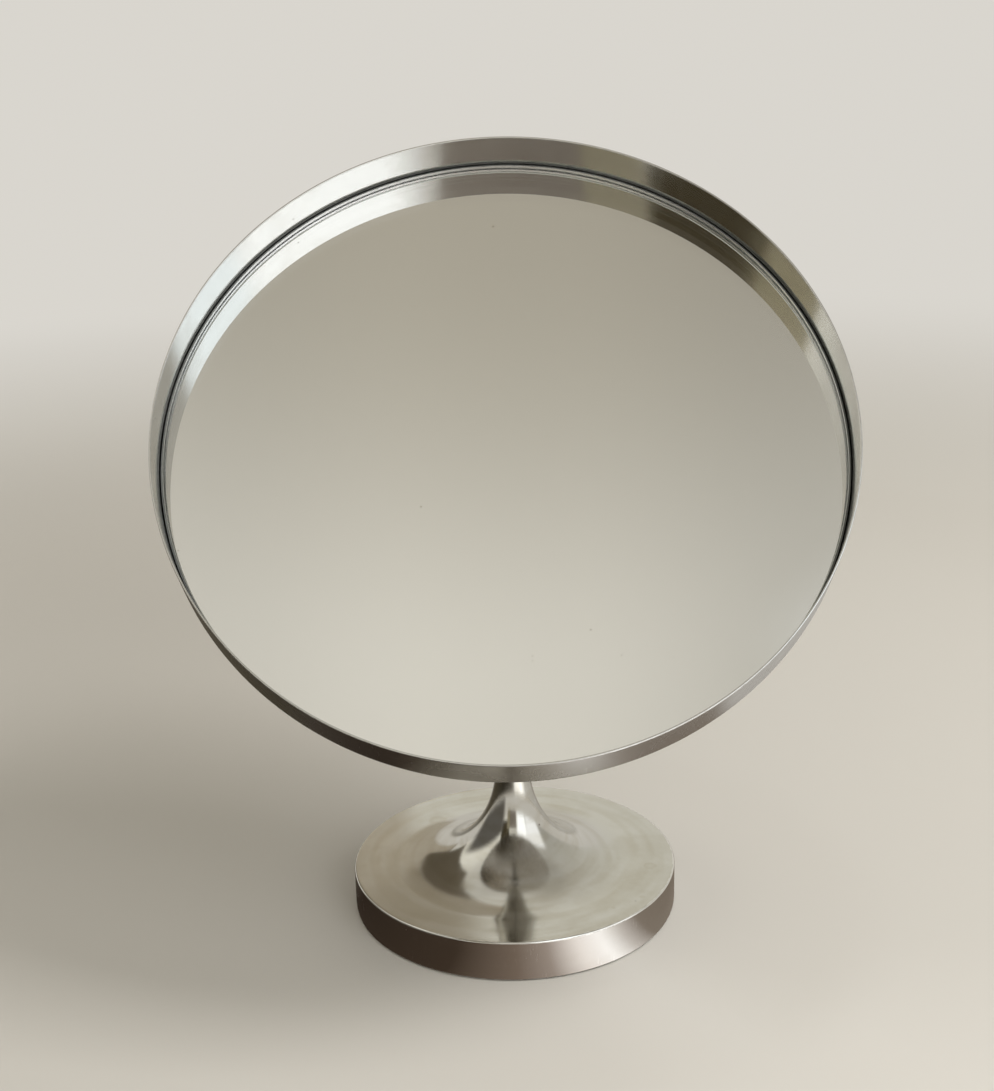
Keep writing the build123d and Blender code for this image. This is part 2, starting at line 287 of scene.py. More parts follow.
def buildEdgeWearAndHighlight():
    # Bright metal round an edge, partly rubbed wear and partly a painted highlight line, whose radius and
    # height about the Z axis are given in metres
    inputs = {"Vector": None, "Radius": 0.1, "Height": 0.0, "Reach": 0.001}
    group, given, end = newGroup("edgeWearAndHighlight", inputs, ["WornAndHighlit"])
    look = edgeWearAndHighlightLook
    radius, height, flat = fromAxis(group, given["Vector"])
    outward = maths(group, "SUBTRACT", radius, given["Radius"])
    upward = maths(group, "SUBTRACT", height, given["Height"])
    distance = vectorMaths(group, "LENGTH", {0: combine(group, outward, upward)})["Value"]
    uneven = noiseAt(group, given["Vector"], look["unevenScale"], look["unevenDetail"])
    share = remap(group, uneven, look["unevenRange"], look["reachShare"])
    near = maths(group, "DIVIDE", distance, maths(group, "MULTIPLY", given["Reach"], share))
    fillInputs(group, end, {"WornAndHighlit": remap(group, near, look["fade"], falling)})
    return group


sideLook = {
    "skin": (0.0002, 0.0007),  # how deep under the outline the outside's finish goes, in metres
    "patchScale": 22.0,
    "patchDetail": 4.0,
    "patchRough": 0.6,
    "patchRange": (0.32, 0.66),
    "patchShare": (0.65, 1.0),
    "pitScale": 900.0,
    "pitRange": (0.10, 0.26),
    "pitPatches": (0.54, 0.68),
    "streakStretch": (1300.0, 1300.0, 190.0),
    "streakDetail": 1.0,
    "streakRange": (0.61, 0.74),
    "scuffScale": 48.0,
    "scuffRange": (0.46, 0.60),
}


def buildOuterSide():
    # The outside of a turned piece, its upright wall, rounded corner and underside, with pits and scuffs
    inputs = {"Vector": None, "Radius": 0.1, "Floor": -1.0, "Corner": 0.001}
    group, given, end = newGroup("outerSide", inputs, ["Side", "Pits", "Scuffs"])
    look = sideLook
    place = given["Vector"]
    radius, height, flat = fromAxis(group, place)
    inward = maths(group, "SUBTRACT", given["Radius"], radius)
    upward = maths(group, "SUBTRACT", height, given["Floor"])
    past = [maths(group, "MAXIMUM", maths(group, "SUBTRACT", given["Corner"], reach), 0.0)
            for reach in (inward, upward)]
    distance = vectorMaths(group, "LENGTH", {0: combine(group, *past)})["Value"]
    side = remap(group, maths(group, "SUBTRACT", given["Corner"], distance), look["skin"], falling)
    patch = noiseAt(group, place, look["patchScale"], look["patchDetail"], look["patchRough"])
    uneven = remap(group, patch, look["patchRange"], look["patchShare"])
    cells = addNode(group, "ShaderNodeTexVoronoi", inputs={"Vector": place, "Scale": look["pitScale"]})
    pit = remap(group, cells.outputs["Distance"], look["pitRange"], falling)
    pitted = maths(group, "MULTIPLY", side, remap(group, patch, look["pitPatches"]))
    upDown = vectorMaths(group, "MULTIPLY", {0: place, 1: look["streakStretch"]})[0]
    streak = remap(group, noiseAt(group, upDown, detail=look["streakDetail"]), look["streakRange"])
    scuffed = remap(group, noiseAt(group, place, look["scuffScale"]), look["scuffRange"])
    scuffs = maths(group, "MULTIPLY", streak, scuffed)
    fillInputs(group, end, {
        "Side": maths(group, "MULTIPLY", side, uneven),
        "Pits": maths(group, "MULTIPLY", pitted, pit),
        "Scuffs": maths(group, "MULTIPLY", side, scuffs),
    })
    return group


stainLook = {
    "swayScale": 300.0,
    "swayDetail": 3.0,
    "sway": 0.5,  # in shares of the stain's radius
    "inside": (0.75, 1.1),
    "border": (0.2, 0.9),
    "borderShare": (0.55, 1.0),
}


def buildRoundStain():
    # One soft round stain about a point, darker towards its border
    inputs = {"Vector": None, "Centre": None, "Radius": 0.004}
    group, given, end = newGroup("roundStain", inputs, ["Stain"])
    look = stainLook
    sway = noiseAt(group, given["Vector"], look["swayScale"], look["swayDetail"])
    distance = vectorMaths(group, "DISTANCE", {0: given["Vector"], 1: given["Centre"]})["Value"]
    share = maths(group, "SUBTRACT", maths(group, "DIVIDE", distance, given["Radius"]), look["sway"] / 2)
    share = maths(group, "MULTIPLY_ADD", sway, look["sway"], share)
    inside = remap(group, share, look["inside"], falling)
    border = remap(group, share, look["border"], look["borderShare"])
    fillInputs(group, end, {"Stain": maths(group, "MULTIPLY", inside, border)})
    return group


turnedGrain = buildTurnedGrain()
ageing = buildAgeing()
hairlines = buildHairlines()
edgeWearAndHighlight = buildEdgeWearAndHighlight()
outerSide = buildOuterSide()
roundStain = buildRoundStain()


# Metals

metalMix = {  # how strongly each mask colours a metal, and what it adds to the roughness
    "bandRange": (0.38, 0.66),
    "stain": 0.5,
    "pits": 0.6,
    "specks": 0.7,
    "cloudRough": 0.45,  # this and the next two are shares of the metal's own range
    "bandRough": 0.35,
    "smearRough": 0.3,
    "lineRough": 0.06,
    "speckRough": 0.25,
    "scuffRough": 0.35,
}
dishMetal = {
    "colour": (0.655, 0.655, 0.64),
    "tarnish": (0.52, 0.50, 0.46),
    "specks": (0.16, 0.13, 0.10),
    "wearAndHighlight": (0.72, 0.715, 0.695),
    "rough": (0.09, 0.17),
    "bandShare": 0.0,
    "tarnishShare": 0.35,
    "speckShare": 0.02,
    "rings": 2600.0,
    "slope": 1.0,  # how much the rings move with the height, against the radius
    "spread": 2.2,
    "grainDepth": 0.008,
    "lineDepth": 0.003,
    "edge": (0.1894, 0.0524, 0.0006),  # radius, height and reach of the lip's brighter metal, rubbed wear with a painted highlight
    # the duller outside: its radius, floor and corner, its colour, darkened as painted shade for the dark
    # surround it would reflect, and what it adds to the roughness
    "side": ((0.190, 0.019, 0.0075), (0.46, 0.44, 0.41), 0.16),
    "scuffs": 0.08,
    "stains": [],  # the centre and radius of each
}
footMetal = {
    "colour": (0.655, 0.645, 0.605),
    "tarnish": (0.51, 0.48, 0.40),
    "specks": (0.16, 0.13, 0.10),
    "wearAndHighlight": (0.86, 0.85, 0.81),
    "rough": (0.08, 0.18),
    "bandShare": 0.4,
    "tarnishShare": 0.35,
    "speckShare": 0.012,
    "rings": 2200.0,
    "slope": -1.0,
    "spread": 1.1,
    "grainDepth": 0.012,
    "lineDepth": 0.002,
    "edge": (0.0967, 0.0242, 0.0010),
    "side": ((0.097, -1.0, 0.0012), (0.60, 0.575, 0.54), 0.05),
    "scuffs": 0.30,
    "stains": [((0.0813, -0.0146, 0.0245), 0.0042), ((0.0735, -0.0505, 0.0245), 0.0016),
               ((0.0560, -0.0620, 0.0245), 0.0012), ((-0.0480, 0.0500, 0.0245), 0.0060)],
}
platedMetal = {
    "colour": (0.60, 0.59, 0.57),
    "tarnish": (0.42, 0.39, 0.34),
    "specks": (0.12, 0.10, 0.08),
    "wearAndHighlight": (0.7, 0.69, 0.66),
    "rough": (0.20, 0.34),
    "bandShare": 0.0,
    "tarnishShare": 0.5,
    "speckShare": 0.05,
    "rings": 4200.0,
    "slope": 1.0,
    "spread": 4.0,
    "grainDepth": 0.02,
    "lineDepth": 0.02,
    "edge": (0.025, 0.019, 0.0008),
    "side": None,
    "stains": [],
}
zincMetal = {
    "colour": (0.56, 0.565, 0.56),
    "tarnish": (0.40, 0.39, 0.36),
    "specks": (0.10, 0.09, 0.08),
    "wearAndHighlight": (0.68, 0.68, 0.67),
    "rough": (0.28, 0.42),
    "bandShare": 0.0,
    "tarnishShare": 0.6,
    "speckShare": 0.08,
    "rings": 5200.0,
    "slope": 1.0,
    "spread": 5.0,
    "grainDepth": 0.02,
    "lineDepth": 0.02,
    "edge": (0.0038, 0.0, 0.0006),
    "side": None,
    "stains": [],
}


def newMaterial(name):
    material = bpy.data.materials.new(name)
    material.use_nodes = True
    tree = material.node_tree
    return material, tree, tree.nodes["Principled BSDF"]


def objectPlace(tree):
    return addNode(tree, "ShaderNodeTexCoord").outputs["Object"]


def aboutAxis(tree, matrix):
    # Object coordinates turned so that the piece's own axis is Z, with its origin on that axis
    inverse = matrix.inverted()
    turned = {"Location": inverse.translation, "Rotation": inverse.to_euler()}
    return mapping(tree, objectPlace(tree), turned)


def makeMetal(name, look, axisMatrix):
    material, tree, shader = newMaterial(name)
    place = aboutAxis(tree, axisMatrix)
    grain = useGroup(tree, turnedGrain, {"Vector": place, "Rings": look["rings"], "Slope": look["slope"],
                                         "Spread": look["spread"]})
    age = useGroup(tree, ageing, {"Vector": place, "Speck Share": look["speckShare"]})
    lines = useGroup(tree, hairlines, {"Vector": place})["Lines"]
    tarnish = maths(tree, "MULTIPLY", age["Clouds"], look["tarnishShare"])
    bands = remap(tree, grain["Bands"], metalMix["bandRange"])
    tarnish = maths(tree, "MULTIPLY_ADD", bands, look["bandShare"], tarnish, clamp=True)
    colour = mixColour(tree, tarnish, look["colour"], look["tarnish"])
    for centre, radius in look["stains"]:
        stain = useGroup(tree, roundStain, {"Vector": place, "Centre": centre, "Radius": radius})
        colour = layColour(tree, colour, stain["Stain"], metalMix["stain"], look["tarnish"])
    low, high = look["rough"]
    roughParts = [
        (age["Clouds"], (high - low) * metalMix["cloudRough"]),
        (grain["Bands"], (high - low) * metalMix["bandRough"]),
        (age["Smears"], (high - low) * metalMix["smearRough"]),
        (lines, metalMix["lineRough"]),
        (age["Specks"], metalMix["speckRough"]),
    ]
    if look["side"]:
        (radius, floor, corner), sideColourAndPaintedShade, sideRough = look["side"]
        side = useGroup(tree, outerSide, {"Vector": place, "Radius": radius, "Floor": floor,
                                          "Corner": corner})
        # The outside's darker colour is painted shade, standing in for a dark surround reflected in it
        colour = mixColour(tree, side["Side"], colour, sideColourAndPaintedShade)
        colour = layColour(tree, colour, side["Pits"], metalMix["pits"], look["specks"])
        colour = layColour(tree, colour, side["Scuffs"], look["scuffs"], look["wearAndHighlight"])
        roughParts += [(side["Side"], sideRough), (side["Scuffs"], look["scuffs"] * metalMix["scuffRough"])]
    colour = layColour(tree, colour, age["Specks"], metalMix["specks"], look["specks"])
    radius, height, reach = look["edge"]
    # The edge is lightened: partly rubbed wear, partly a painted highlight line along it
    edgeWearAndShine = useGroup(tree, edgeWearAndHighlight, {"Vector": place, "Radius": radius, "Height": height, "Reach": reach})
    colour = mixColour(tree, edgeWearAndShine["WornAndHighlit"], colour, look["wearAndHighlight"])
    relief = maths(tree, "MULTIPLY", grain["Grain"], look["grainDepth"])
    relief = maths(tree, "MULTIPLY_ADD", lines, -look["lineDepth"], relief)
    bump = addNode(tree, "ShaderNodeBump", inputs={"Height": relief, "Distance": mm, "Strength": 1.0})
    fillInputs(tree, shader, {
        "Base Color": colour,
        "Roughness": raiseBy(tree, low, roughParts),
        "Normal": bump.outputs[0],
        "Metallic": 1.0,
    })
    return material


upright = Matrix.Identity(4)
boltAxis = Matrix.Translation(pivot) @ Matrix.Rotation(math.radians(90), 4, "Y")
dishMaterial = makeMetal("spunDishMetal", dishMetal, headPlace)
footMaterial = makeMetal("turnedFootMetal", footMetal, upright)
yokeMaterial = makeMetal("platedYokeMetal", platedMetal, headPlace)
boltMaterial = makeMetal("platedBoltMetal", platedMetal, boltAxis)
socketMaterial = makeMetal("platedSocketMetal", platedMetal, upright)
screwMaterial = makeMetal("zincScrewMetal", zincMetal, headPlace)
rodMaterial = makeMetal("zincRodMetal", zincMetal, upright)
print("metals made")


# Glass, silver and the soft and painted finishes

glassLook = {
    "tint": (0.99, 0.988, 0.985),
    "speckTint": (0.8, 0.78, 0.74),
    "refraction": 1.52,
    "cloudScale": 9.0,
    "speckShare": 0.004,
    "lineScale": 0.7,
    "lineWidth": 0.004,
    "smearRough": 0.02,
    "lineRough": 0.03,
}
edgeLook = {
    "tint": (0.55, 0.60, 0.57),
    "paleTint": (0.68, 0.73, 0.70),
    "rough": (0.26, 0.40),
    "through": 0.8,  # how much of the light passes the ground edge
    "grainScale": 900.0,
    "grainDetail": 3.0,
    "grainDepth": 0.02,
    "grainStrength": 0.5,
}
silverLook = {
    "colour": (0.93, 0.925, 0.90),
    "bloom": (0.60, 0.55, 0.45),
    "bloomRadii": (0.178, 0.187),  # where the specks of bloom set in, in metres
    "bloomRough": 0.4,
    "cloudScale": 12.0,
    "speckScale": 420.0,
    "speckShare": 0.015,
}


def makeGlass():
    material, tree, shader = newMaterial("polishedGlass")
    place = aboutAxis(tree, headPlace)
    look = glassLook
    age = useGroup(tree, ageing, {"Vector": place, "Cloud Scale": look["cloudScale"],
                                  "Speck Share": look["speckShare"]})
    scratch = useGroup(tree, hairlines, {"Vector": place, "Scale": look["lineScale"],
                                         "Width": look["lineWidth"]})
    rough = maths(tree, "MULTIPLY", age["Smears"], look["smearRough"])
    fillInputs(tree, shader, {
        "Base Color": mixColour(tree, age["Specks"], look["tint"], look["speckTint"]),
        "Roughness": maths(tree, "MULTIPLY_ADD", scratch["Lines"], look["lineRough"], rough),
        "Transmission Weight": 1.0,
        "IOR": look["refraction"],
    })
    return material


def makeGroundEdge():
    material, tree, shader = newMaterial("groundGlassEdge")
    look = edgeLook
    grain = noiseAt(tree, aboutAxis(tree, headPlace), look["grainScale"], look["grainDetail"])
    low, high = look["rough"]
    bump = addNode(tree, "ShaderNodeBump", inputs={"Height": grain, "Distance": look["grainDepth"] * mm,
                                                   "Strength": look["grainStrength"]})
    fillInputs(tree, shader, {
        "Base Color": mixColour(tree, grain, look["tint"], look["paleTint"]),
        "Roughness": maths(tree, "MULTIPLY_ADD", grain, high - low, low),
        "Normal": bump.outputs[0],
        "Transmission Weight": look["through"],
        "IOR": glassLook["refraction"],
    })
    return material


def makeSilver():
    material, tree, shader = newMaterial("silverCoat")
    place = aboutAxis(tree, headPlace)
    look = silverLook
    age = useGroup(tree, ageing, {"Vector": place, "Cloud Scale": look["cloudScale"],
                                  "Speck Scale": look["speckScale"], "Speck Share": look["speckShare"]})
    radius = fromAxis(tree, place)[0]
    bloom = maths(tree, "MULTIPLY", remap(tree, radius, look["bloomRadii"]), age["Specks"])
    fillInputs(tree, shader, {
        "Base Color": mixColour(tree, bloom, look["colour"], look["bloom"]),
        "Roughness": maths(tree, "MULTIPLY", bloom, look["bloomRough"]),
        "Metallic": 1.0,
    })
    return material


softLooks = {
    "backPaint": {"low": (0.075, 0.065, 0.055), "high": (0.12, 0.10, 0.085), "rough": (0.55, 0.75),
                  "scale": 160.0, "depth": 0.03, "stretch": (1, 1, 1)},
    "feltPile": {"low": (0.022, 0.026, 0.024), "high": (0.075, 0.08, 0.072), "rough": (0.9, 1.0),
                 "scale": 700.0, "depth": 0.25, "stretch": (1, 1.6, 1)},
    "blackLacquer": {"low": (0.02, 0.02, 0.02), "high": (0.045, 0.045, 0.043), "rough": (0.32, 0.5),
                     "scale": 120.0, "depth": 0.02, "stretch": (1, 1, 1)},
    "castIronSkin": {"low": (0.045, 0.043, 0.04), "high": (0.13, 0.12, 0.11), "rough": (0.6, 0.85),
                     "scale": 420.0, "depth": 0.15, "stretch": (1, 1, 1)},
    "naturalNylon": {"low": (0.62, 0.60, 0.53), "high": (0.72, 0.70, 0.63), "rough": (0.4, 0.55),
                     "scale": 300.0, "depth": 0.01, "stretch": (1, 1, 1)},
    "vulcanFibre": {"low": (0.13, 0.035, 0.02), "high": (0.24, 0.075, 0.04), "rough": (0.5, 0.7),
                    "scale": 900.0, "depth": 0.03, "stretch": (1, 1, 3)},
    "fibreboard": {"low": (0.15, 0.095, 0.05), "high": (0.32, 0.22, 0.13), "rough": (0.75, 0.9),
                   "scale": 500.0, "depth": 0.08, "stretch": (1, 2.5, 1)},
    "beadRubber": {"low": (0.12, 0.125, 0.122), "high": (0.21, 0.215, 0.21), "rough": (0.5, 0.7),
                   "scale": 500.0, "depth": 0.02, "stretch": (1, 1, 1)},
}


skinLook = {
    "fineDetail": 4.0,
    "fineRough": 0.65,
    "broadScale": 0.08,  # as a share of the fine pattern's scale
    "broadDetail": 3.0,
    "fineShare": 0.55,
    "broadShare": 0.45,
    "toneRange": (0.35, 0.65),
}


def buildPlainSkin():
    # Speckled skin for pressed, cast, moulded and painted pieces
    group, given, end = newGroup("plainSkin", {"Vector": None, "Scale": 200.0}, ["Tone", "Relief"])
    look = skinLook
    fine = noiseAt(group, given["Vector"], given["Scale"], look["fineDetail"], look["fineRough"])
    broadScale = maths(group, "MULTIPLY", given["Scale"], look["broadScale"])
    broad = noiseAt(group, given["Vector"], broadScale, look["broadDetail"])
    fineTone = maths(group, "MULTIPLY", fine, look["fineShare"])
    both = maths(group, "MULTIPLY_ADD", broad, look["broadShare"], fineTone)
    fillInputs(group, end, {"Tone": remap(group, both, look["toneRange"]), "Relief": fine})
    return group


plainSkin = buildPlainSkin()


def makeSoft(name):
    look = softLooks[name]
    material, tree, shader = newMaterial(name)
    place = mapping(tree, objectPlace(tree), {"Scale": look["stretch"]})
    skin = useGroup(tree, plainSkin, {"Vector": place, "Scale": look["scale"]})
    low, high = look["rough"]
    bump = addNode(tree, "ShaderNodeBump", inputs={"Height": skin["Relief"], "Strength": 1.0,
                                                   "Distance": look["depth"] * mm})
    fillInputs(tree, shader, {
        "Base Color": mixColour(tree, skin["Tone"], look["low"], look["high"]),
        "Roughness": maths(tree, "MULTIPLY_ADD", skin["Tone"], high - low, low),
        "Normal": bump.outputs[0],
    })
    return material


glassMaterial = makeGlass()
edgeMaterial = makeGroundEdge()
silverMaterial = makeSilver()
softMaterials = {name: makeSoft(name) for name in softLooks}
print("glass, silver and plain finishes made")


# Meshes

mergeGap = 0.0005  # vertices nearer than this become one
ringGap = 0.01  # how far a vertex may be off the ring that is asked for


def spinOutline(mesh, outline, steps, closed=False):
    verts = [mesh.verts.new((radius, 0, height)) for radius, height in outline]
    pairs = list(zip(verts, verts[1:]))
    if closed:
        pairs.append((verts[-1], verts[0]))
    edges = [mesh.edges.new(pair) for pair in pairs]
    bmesh.ops.spin(mesh, geom=verts + edges, cent=(0, 0, 0), axis=(0, 0, 1), angle=math.tau, steps=steps,
                   use_merge=True)
    bmesh.ops.remove_doubles(mesh, verts=mesh.verts, dist=mergeGap)
    bmesh.ops.recalc_face_normals(mesh, faces=mesh.faces)


def ringEdges(mesh, radius, height):
    def onRing(vert):
        return abs(vert.co.xy.length - radius) < ringGap and abs(vert.co.z - height) < ringGap
    return [edge for edge in mesh.edges if onRing(edge.verts[0]) and onRing(edge.verts[1])]


def roundRing(mesh, radius, height, offset, segments):
    bmesh.ops.bevel(mesh, geom=ringEdges(mesh, radius, height), offset=offset, segments=segments,
                    profile=0.5, affect="EDGES", material=-1, clamp_overlap=False)


def finishPiece(mesh, name, place, materials, sharpAngle=35):
    # A piece modelled in millimetres about its own axis becomes a mesh in the frame's metres
    mesh.transform(place @ Matrix.Scale(mm, 4))
    data = bpy.data.meshes.new(name)
    mesh.to_mesh(data)
    mesh.free()
    for material in materials:
        data.materials.append(material)
    data.shade_smooth()
    data.set_sharp_from_angle(angle=math.radians(sharpAngle))
    piece = bpy.data.objects.new(name, data)
    scene.collection.objects.link(piece)
    evened = piece.modifiers.new("evenedNormals", "WEIGHTED_NORMAL")
    evened.keep_sharp = True
    return piece


# Sizes in millimetres, about each piece's own axis
dish = {
    "radius": 190.0,
    "wall": 1.2,
    "back": 19.0,  # from the tilt axis to the dish's back
    "front": 52.44,
    "corner": 7.5,
    "cornerSpare": 1.5,  # of the extra ring beyond the rounded corner
    "cornerSegments": 14,
    "lip": 0.45,
    "lipSegments": 4,
    "steps": 512,
}
pane = {
    "gap": 1.5,  # from its edge to the dish's wall
    "back": 22.98,
    "front": 28.94,
    "arris": 0.5,
    "silverBack": 22.74,
    "silverFront": 22.94,
    "silverInset": 0.5,
    "flatNormal": 0.9,  # faces that look along the axis at least this much are polished or silvered
    "sharpAngle": 30,
}
bead = {
    "low": 24.73,
    "high": 28.1,
    "glassGap": 0.05,
    "wallGap": 0.5,
    "round": 0.2,
    "roundSegments": 2,
}
wallRadius = dish["radius"] - dish["wall"]
paneRadius = wallRadius - pane["gap"]


def makeDish():
    mesh = bmesh.new()
    outer, inner = dish["radius"], wallRadius
    floor = dish["back"] + dish["wall"]
    innerCorner = dish["corner"] - dish["wall"]
    beyond = dish["corner"] + dish["cornerSpare"]
    outline = [
        (0, dish["back"]),
        (outer - beyond, dish["back"]),
        (outer, dish["back"]),
        (outer, dish["back"] + beyond),
        (outer, dish["front"]),
        (inner, dish["front"]),
        (inner, dish["back"] + beyond),
        (inner, floor),
        (outer - beyond, floor),
        (0, floor),
    ]
    spinOutline(mesh, outline, dish["steps"])
    roundRing(mesh, outer, dish["back"], dish["corner"], dish["cornerSegments"])
    roundRing(mesh, inner, floor, innerCorner, dish["cornerSegments"])
    for radius in (outer, inner):
        roundRing(mesh, radius, dish["front"], dish["lip"], dish["lipSegments"])
    piece = finishPiece(mesh, "spunDish", headPlace, [dishMaterial])
    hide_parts("mirror_tray")
    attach(piece, "mirror_head")


def makePane():
    back, front = pane["back"], pane["front"]
    mesh = bmesh.new()
    spinOutline(mesh, [(0, back), (paneRadius, back), (paneRadius, front), (0, front)], dish["steps"])
    for height in (back, front):
        roundRing(mesh, paneRadius, height, pane["arris"], 1)
    for face in mesh.faces:
        face.material_index = 0 if abs(face.normal.z) > pane["flatNormal"] else 1
    piece = finishPiece(mesh, "mirrorPane", headPlace, [glassMaterial, edgeMaterial], pane["sharpAngle"])
    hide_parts("mirror_glass")
    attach(piece, "mirror_head")

    back, front = pane["silverBack"], pane["silverFront"]
    inset = paneRadius - pane["silverInset"]
    mesh = bmesh.new()
    spinOutline(mesh, [(0, back), (inset, back), (inset, front), (0, front)], dish["steps"])
    for face in mesh.faces:
        face.material_index = 0 if face.normal.z > pane["flatNormal"] else 1
    finishes = [silverMaterial, softMaterials["backPaint"]]
    piece = finishPiece(mesh, "silverLayer", headPlace, finishes, pane["sharpAngle"])
    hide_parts("silvering")
    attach(piece, "mirror_head")


def makeBead():
    inner, outer = paneRadius + bead["glassGap"], wallRadius - bead["wallGap"]
    low, high = bead["low"], bead["high"]
    outline = [(inner, low), (outer, low), (outer, high), (inner, high)]
    mesh = bmesh.new()
    spinOutline(mesh, outline, dish["steps"], closed=True)
    roundRing(mesh, outer, high, bead["round"], bead["roundSegments"])
    piece = finishPiece(mesh, "glazingBead", headPlace, [softMaterials["beadRubber"]])
    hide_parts("glazing_bead")
    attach(piece, "mirror_head")


makeDish()
makePane()
makeBead()
print("dish, pane and bead modelled")


foot = {
    "radius": 97.0,
    "height": 24.5,
    "low": 0.8,
    "flat": 25.0,  # width of the level ring round the flare
    "pullOut": 32.0,
    "belly": (19.0, 42.0),
    "throat": (9.95, 62.0),
    "neckFoot": (9.7, 92.0),
    "neckTop": (8.1, 239.35),
    "bore": 5.9,
    "wall": 3.0,
    "rimWall": 4.0,
    "rebateWall": 2.0,
    "rebateTop": 3.5,
    "rimRound": 1.2,
    "rimSpare": 0.8,  # of the extra rings beyond the rounded rim
    "rimSegments": 6,
    "lowRound": 0.4,
    "lowSegments": 3,
    "topRound": 0.3,
    "topSegments": 2,
    "curveParts": 44,
    "neckParts": 14,
    "steps": 384,
}


def smoothCurve(controls, count):
    # Points of the one polynomial curve that these control points pull on
    last = len(controls) - 1
    for index in range(count + 1):
        share = index / count
        weights = [math.comb(last, k) * share**k * (1 - share)**(last - k) for k in range(last + 1)]
        yield tuple(sum(weight * point[side] for weight, point in zip(weights, controls))
                    for side in (0, 1))


def straight(first, second, count):
    for index in range(1, count + 1):
        share = index / count
        yield tuple(first[side] + (second[side] - first[side]) * share for side in (0, 1))


def makeFoot():
    flare = foot["radius"] - foot["flat"]
    ceiling = foot["height"] - foot["wall"]
    inset = foot["wall"] * math.sin(math.radians(45))
    pulled = flare - foot["pullOut"]
    outside = [(flare, foot["height"]), (pulled, foot["height"]), foot["belly"], foot["throat"],
               foot["neckFoot"]]
    inside = [(foot["bore"], foot["neckFoot"][1]), (foot["bore"], foot["throat"][1]),
              (foot["belly"][0] - inset, foot["belly"][1] - inset), (pulled, ceiling), (flare, ceiling)]
    rimInner = foot["radius"] - foot["rimWall"]
    rebate = foot["radius"] - foot["rebateWall"]
    beyond = foot["rimRound"] + foot["rimSpare"]
    outline = [(foot["radius"], foot["low"]), (foot["radius"], foot["height"] - beyond),
               (foot["radius"], foot["height"]), (foot["radius"] - beyond, foot["height"])]
    outline += smoothCurve(outside, foot["curveParts"])
    outline += straight(foot["neckFoot"], foot["neckTop"], foot["neckParts"])
    outline += [(foot["bore"], foot["neckTop"][1])]
    outline += smoothCurve(inside, foot["curveParts"] // 2)
    outline += [(rimInner, ceiling), (rimInner, foot["rebateTop"]), (rebate, foot["rebateTop"]),
                (rebate, foot["low"])]
    mesh = bmesh.new()
    spinOutline(mesh, outline, foot["steps"], closed=True)
    roundRing(mesh, foot["radius"], foot["height"], foot["rimRound"], foot["rimSegments"])
    roundRing(mesh, foot["radius"], foot["low"], foot["lowRound"], foot["lowSegments"])
    roundRing(mesh, *foot["neckTop"], foot["topRound"], foot["topSegments"])
    piece = finishPiece(mesh, "turnedFoot", upright, [footMaterial])
    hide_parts("foot_shell")
    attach(piece, "stand")


makeFoot()
print("foot modelled")


# Finishes of the CAD nodes that stay

nodeFinishes = {
    "knuckle": footMaterial,
    "yoke": yokeMaterial,
    "yoke_screws": screwMaterial,
    "clamp_plate": screwMaterial,
    "tilt_bolt": boltMaterial,
    "tilt_nut": boltMaterial,
    "spring_washer": boltMaterial,
    "tilt_washers": softMaterials["vulcanFibre"],
    "swivel_socket": socketMaterial,
    "swivel_spindle": socketMaterial,
    "swivel_grub_screw": rodMaterial,
    "swivel_washer": softMaterials["naturalNylon"],
    "tie_rod": rodMaterial,
    "rod_washer": rodMaterial,
    "rod_nut": rodMaterial,
    "ballast_disc": softMaterials["castIronSkin"],
    "base_cover": softMaterials["blackLacquer"],
    "felt_pad": softMaterials["feltPile"],
    "backing_board": softMaterials["fibreboard"],
}
for nodeName, finish in nodeFinishes.items():
    for slot in frame["nodes"][nodeName].material_slots:
        slot.material = finish
print("carried-over pieces finished")


# Floor, cards, world and lamps

def aimedPlace(azimuth, elevation, distance):
    # A place round the tilt bolt, turned so that its local Z points straight away from the bolt
    side, lift = math.radians(azimuth), math.radians(elevation)
    away = Vector((math.sin(side) * math.cos(lift), -math.cos(side) * math.cos(lift), math.sin(lift)))
    turned = away.to_track_quat("Z", "Y").to_matrix().to_4x4()
    return Matrix.Translation(pivot + away * distance) @ turned


def stageObject(mesh, name, material, hidden=()):
    # hidden names the kinds of ray that don't see it
    data = bpy.data.meshes.new(name)
    mesh.to_mesh(data)
    mesh.free()
    data.shade_smooth()
    data.materials.append(material)
    thing = bpy.data.objects.new(name, data)
    for rays in hidden:
        setattr(thing, rays, False)
    scene.collection.objects.link(thing)
    return thing


def setSurface(tree, shader):
    tree.links.new(shader.outputs[0], tree.nodes["Material Output"].inputs["Surface"])


def setMixed(tree, share, first, second):
    inputs = {0: share, 1: first.outputs[0], 2: second.outputs[0]}
    setSurface(tree, addNode(tree, "ShaderNodeMixShader", inputs=inputs))


floorLook = {
    "colour": (0.62, 0.595, 0.555),
    "cooler": 0.985,  # its faint clouds, as a share of that colour
    "cloudScale": 3.0,
    "rough": 0.6,
    "specular": 0.2,
    "backdropColour": (0.695, 0.67, 0.62),
    "backdropFade": (0.75, 2.3),  # distances from the foot between which the floor pales to the backdrop
    "reach": 2.6,
    "coveReach": 3.6,
    "coveRise": 1.1,
    "coveParts": 12,
    "steps": 96,
}


